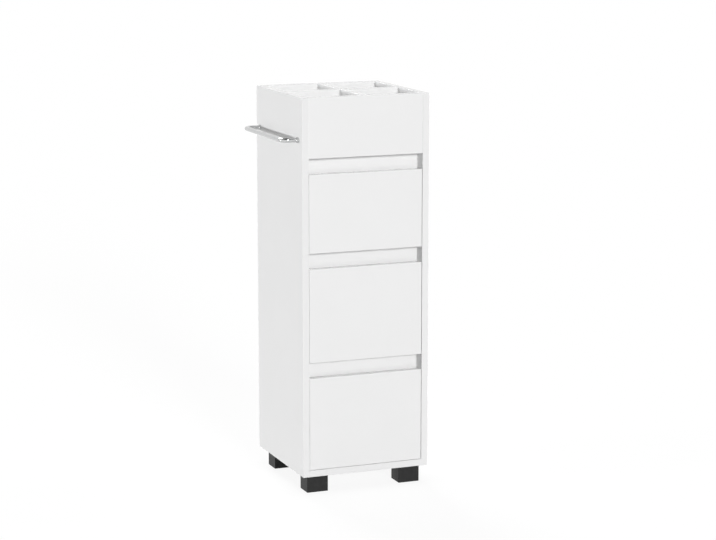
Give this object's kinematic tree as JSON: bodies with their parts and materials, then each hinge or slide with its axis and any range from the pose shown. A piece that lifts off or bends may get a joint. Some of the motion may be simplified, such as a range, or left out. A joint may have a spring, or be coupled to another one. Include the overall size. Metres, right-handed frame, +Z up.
{
  "type": "bathroom storage tower",
  "caption": "Narrow white bathroom tower with a divided open tray on top, handleless drawers on roller runners, black block feet and a chrome towel rail on its left side.",
  "frame": {"origin": "on the floor, under the middle of the overall box with the towel rail included", "axes": "+Z up, the drawer fronts face -Y, +X to the right of a person who faces the fronts"},
  "size_m": [0.342, 0.3, 0.89],
  "materials": {
    "white_board": "white melamine or foil on particle board, satin",
    "black_foot": "moulded black plastic, fine satin grain",
    "chrome_rail": "polished chrome plating",
    "white_steel": "white epoxy coated sheet steel",
    "nylon": "natural nylon",
    "zinc_steel": "bright zinc plated",
    "beech": "fluted beech, unfinished"
  },
  "bodies": {
    "cabinet": {"left_side_panel": "white_board", "right_side_panel": "white_board", "bottom_panel": "white_board", "back_panel": "white_board", "tray_front": "white_board", "tray_back": "white_board", "tray_floor": "white_board", "tray_divider": "white_board", "tray_cross_divider": "white_board", "foot_front_left": "black_foot", "foot_front_right": "black_foot", "foot_rear_left": "black_foot", "foot_rear_right": "black_foot", "foot_screws": "zinc_steel", "towel_rail": "chrome_rail", "towel_rail_collars": "chrome_rail", "towel_rail_screws": "zinc_steel", "wood_dowels": "beech", "cam_locks": "zinc_steel", "cam_bolts": "zinc_steel", "runner_screws": "zinc_steel", "grip_rail_1": "white_board", "grip_rail_2": "white_board", "grip_rail_3": "white_board", "cabinet_runner_left_1": "white_steel", "cabinet_runner_left_2": "white_steel", "cabinet_runner_left_3": "white_steel", "cabinet_runner_right_1": "white_steel", "cabinet_runner_right_2": "white_steel", "cabinet_runner_right_3": "white_steel"},
    "drawer_1": {"drawer_front_1": "white_board", "drawer_left_side_1": "white_board", "drawer_right_side_1": "white_board", "drawer_back_1": "white_board", "drawer_bottom_1": "white_board", "drawer_runner_left_1": "white_steel", "drawer_runner_right_1": "white_steel", "drawer_fixings_1": "zinc_steel"},
    "drawer_2": {"drawer_front_2": "white_board", "drawer_left_side_2": "white_board", "drawer_right_side_2": "white_board", "drawer_back_2": "white_board", "drawer_bottom_2": "white_board", "drawer_runner_left_2": "white_steel", "drawer_runner_right_2": "white_steel", "drawer_fixings_2": "zinc_steel"},
    "drawer_3": {"drawer_front_3": "white_board", "drawer_left_side_3": "white_board", "drawer_right_side_3": "white_board", "drawer_back_3": "white_board", "drawer_bottom_3": "white_board", "drawer_runner_left_3": "white_steel", "drawer_runner_right_3": "white_steel", "drawer_fixings_3": "zinc_steel"},
    "cabinet_roller_pair_1": {"cabinet_rollers_1": "nylon"},
    "cabinet_roller_pair_2": {"cabinet_rollers_2": "nylon"},
    "cabinet_roller_pair_3": {"cabinet_rollers_3": "nylon"},
    "drawer_roller_pair_1": {"drawer_rollers_1": "nylon"},
    "drawer_roller_pair_2": {"drawer_rollers_2": "nylon"},
    "drawer_roller_pair_3": {"drawer_rollers_3": "nylon"}
  },
  "joints": [
    {"name": "drawer_slide_1", "type": "slide", "parent": "cabinet", "child": "drawer_1", "axis": [0, -1, 0], "range_m": [0, 0.185]},
    {"name": "drawer_slide_2", "type": "slide", "parent": "cabinet", "child": "drawer_2", "axis": [0, -1, 0], "range_m": [0, 0.185]},
    {"name": "drawer_slide_3", "type": "slide", "parent": "cabinet", "child": "drawer_3", "axis": [0, -1, 0], "range_m": [0, 0.185]},
    {"name": "cabinet_roller_turn_1", "type": "hinge", "parent": "cabinet", "child": "cabinet_roller_pair_1", "pos_m": [0.021, -0.119, 0.57], "axis": [1, 0, 0], "continuous": true},
    {"name": "drawer_roller_turn_1", "type": "hinge", "parent": "drawer_1", "child": "drawer_roller_pair_1", "pos_m": [0.021, 0.103, 0.57], "axis": [1, 0, 0], "continuous": true},
    {"name": "cabinet_roller_turn_2", "type": "hinge", "parent": "cabinet", "child": "cabinet_roller_pair_2", "pos_m": [0.021, -0.119, 0.324], "axis": [1, 0, 0], "continuous": true},
    {"name": "drawer_roller_turn_2", "type": "hinge", "parent": "drawer_2", "child": "drawer_roller_pair_2", "pos_m": [0.021, 0.103, 0.324], "axis": [1, 0, 0], "continuous": true},
    {"name": "cabinet_roller_turn_3", "type": "hinge", "parent": "cabinet", "child": "cabinet_roller_pair_3", "pos_m": [0.021, -0.119, 0.0798], "axis": [1, 0, 0], "continuous": true},
    {"name": "drawer_roller_turn_3", "type": "hinge", "parent": "drawer_3", "child": "drawer_roller_pair_3", "pos_m": [0.021, 0.103, 0.0798], "axis": [1, 0, 0], "continuous": true}
  ],
  "couplings": [
    {"joint": "cabinet_roller_turn_1", "follows": "drawer_slide_1", "rad_per_m": 95.238},
    {"joint": "drawer_roller_turn_1", "follows": "drawer_slide_1", "rad_per_m": 95.238},
    {"joint": "cabinet_roller_turn_2", "follows": "drawer_slide_2", "rad_per_m": 95.238},
    {"joint": "drawer_roller_turn_2", "follows": "drawer_slide_2", "rad_per_m": 95.238},
    {"joint": "cabinet_roller_turn_3", "follows": "drawer_slide_3", "rad_per_m": 95.238},
    {"joint": "drawer_roller_turn_3", "follows": "drawer_slide_3", "rad_per_m": 95.238}
  ]
}
